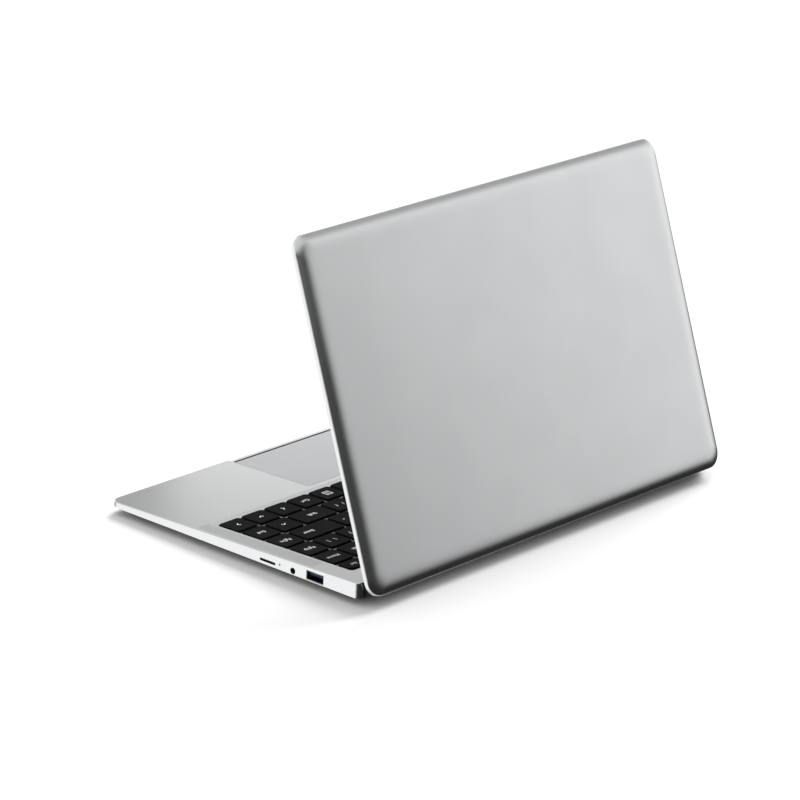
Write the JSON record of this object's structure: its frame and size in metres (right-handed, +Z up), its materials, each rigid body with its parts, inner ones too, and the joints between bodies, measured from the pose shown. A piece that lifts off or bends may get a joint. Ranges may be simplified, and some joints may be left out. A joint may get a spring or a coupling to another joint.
{
  "type": "laptop computer",
  "caption": "Slim wedge-shaped laptop computer with its lid partly open on two friction hinges, sunk keyboard of separate keys, touchpad and side sockets.",
  "frame": {"origin": "on the table, under the middle of the footprint", "axes": "+X to the user's right, +Y to the back, +Z up; the deck slopes up towards the back"},
  "size_m": [0.3216, 0.2053, 0.2002],
  "materials": {
    "silver_metal": "satin anodised",
    "dark_plastic": "fine matte",
    "socket_plastic": "matte",
    "key_plastic": "soft matte",
    "membrane_film": "smooth film",
    "steel": "brushed",
    "plated_shell": "nickel plated",
    "blue_plastic": "moulded",
    "pad_glass": "satin",
    "screen_glass": "smooth",
    "lens_glass": "smooth",
    "light_guide": "clear moulded",
    "backlight_plastic": "smooth",
    "circuit_board": "solder mask",
    "chip": "moulded",
    "copper": "rolled",
    "cell_foil": "laminated foil",
    "rubber": "matte"
  },
  "bodies": {
    "base": {"palm_rest_deck": "silver_metal", "bottom_cover": "dark_plastic", "bottom_screws": "steel", "rubber_feet": "rubber", "rear_cover": "dark_plastic", "keyboard_frame": "silver_metal", "keyboard_membrane": "membrane_film", "keyboard_backplate": "steel", "touchpad_bracket": "steel", "touchpad_switch": "socket_plastic", "motherboard": "circuit_board", "io_board": "circuit_board", "io_ribbon": "membrane_film", "processor": "chip", "heat_spreader": "copper", "storage_module": "circuit_board", "wireless_module": "circuit_board", "battery_cells": "cell_foil", "speaker_right": "socket_plastic", "speaker_left": "socket_plastic", "usb_shell_right": "plated_shell", "usb_shell_left": "plated_shell", "usb_tongue_right": "blue_plastic", "usb_tongue_left": "blue_plastic", "headphone_jack": "socket_plastic", "card_slot": "plated_shell", "status_light": "light_guide", "hdmi_port": "plated_shell", "power_jack": "socket_plastic", "hinge_bracket_right": "steel", "hinge_bracket_left": "steel", "bracket_screws": "steel"},
    "lid": {"lid_cover": "silver_metal", "display_bezel": "dark_plastic", "lcd_glass": "screen_glass", "backlight_unit": "backlight_plastic", "driver_board": "circuit_board", "camera_board": "circuit_board", "camera_lens": "lens_glass", "lid_bumpers": "rubber", "hinge_pin_right": "steel", "hinge_pin_left": "steel", "hinge_arm_right": "steel", "hinge_arm_left": "steel", "hinge_cover_right": "dark_plastic", "hinge_cover_left": "dark_plastic", "arm_screws": "steel"},
    "touchpad": {"touchpad_plate": "pad_glass"},
    "modifier_keys": {"modifier_keys": "key_plastic"},
    "space_bar": {"space_bar": "key_plastic"},
    "lower_letter_keys": {"lower_letter_keys": "key_plastic"},
    "left_shift_key": {"left_shift_key": "key_plastic"},
    "right_shift_key": {"right_shift_key": "key_plastic"},
    "home_letter_keys": {"home_letter_keys": "key_plastic"},
    "enter_key": {"enter_key": "key_plastic"},
    "upper_letter_keys": {"upper_letter_keys": "key_plastic"},
    "number_keys": {"number_keys": "key_plastic"},
    "backspace_key": {"backspace_key": "key_plastic"},
    "function_keys": {"function_keys": "key_plastic"}
  },
  "joints": [
    {"name": "lid_hinge", "type": "hinge", "parent": "base", "child": "lid", "pos_m": [0, 0.09417, 0.01154], "axis": [-1, 0, 0], "range_deg": [-72, 48]},
    {"name": "touchpad_click", "type": "hinge", "parent": "base", "child": "touchpad", "pos_m": [0, -0.03701, 0.00883], "axis": [1, 0, 0], "range_deg": [0, 0.6], "stiffness_Nm_per_rad": 10, "springref_deg": -0.29},
    {"name": "modifier_key_press", "type": "slide", "parent": "base", "child": "modifier_keys", "axis": [0, -0.0306, 0.9995], "range_m": [-0.0012, 0], "stiffness_N_per_m": 600, "springref_m": 0.001},
    {"name": "space_bar_press", "type": "slide", "parent": "base", "child": "space_bar", "axis": [0, -0.0306, 0.9995], "range_m": [-0.0012, 0], "stiffness_N_per_m": 300, "springref_m": 0.001},
    {"name": "lower_letter_key_press", "type": "slide", "parent": "base", "child": "lower_letter_keys", "axis": [0, -0.0306, 0.9995], "range_m": [-0.0012, 0], "stiffness_N_per_m": 600, "springref_m": 0.001},
    {"name": "left_shift_key_press", "type": "slide", "parent": "base", "child": "left_shift_key", "axis": [0, -0.0306, 0.9995], "range_m": [-0.0012, 0], "stiffness_N_per_m": 300, "springref_m": 0.001},
    {"name": "right_shift_key_press", "type": "slide", "parent": "base", "child": "right_shift_key", "axis": [0, -0.0306, 0.9995], "range_m": [-0.0012, 0], "stiffness_N_per_m": 300, "springref_m": 0.001},
    {"name": "home_letter_key_press", "type": "slide", "parent": "base", "child": "home_letter_keys", "axis": [0, -0.0306, 0.9995], "range_m": [-0.0012, 0], "stiffness_N_per_m": 600, "springref_m": 0.001},
    {"name": "enter_key_press", "type": "slide", "parent": "base", "child": "enter_key", "axis": [0, -0.0306, 0.9995], "range_m": [-0.0012, 0], "stiffness_N_per_m": 300, "springref_m": 0.001},
    {"name": "upper_letter_key_press", "type": "slide", "parent": "base", "child": "upper_letter_keys", "axis": [0, -0.0306, 0.9995], "range_m": [-0.0012, 0], "stiffness_N_per_m": 600, "springref_m": 0.001},
    {"name": "number_key_press", "type": "slide", "parent": "base", "child": "number_keys", "axis": [0, -0.0306, 0.9995], "range_m": [-0.0012, 0], "stiffness_N_per_m": 600, "springref_m": 0.001},
    {"name": "backspace_key_press", "type": "slide", "parent": "base", "child": "backspace_key", "axis": [0, -0.0306, 0.9995], "range_m": [-0.0012, 0], "stiffness_N_per_m": 300, "springref_m": 0.001},
    {"name": "function_key_press", "type": "slide", "parent": "base", "child": "function_keys", "axis": [0, -0.0306, 0.9995], "range_m": [-0.0012, 0], "stiffness_N_per_m": 600, "springref_m": 0.001}
  ]
}
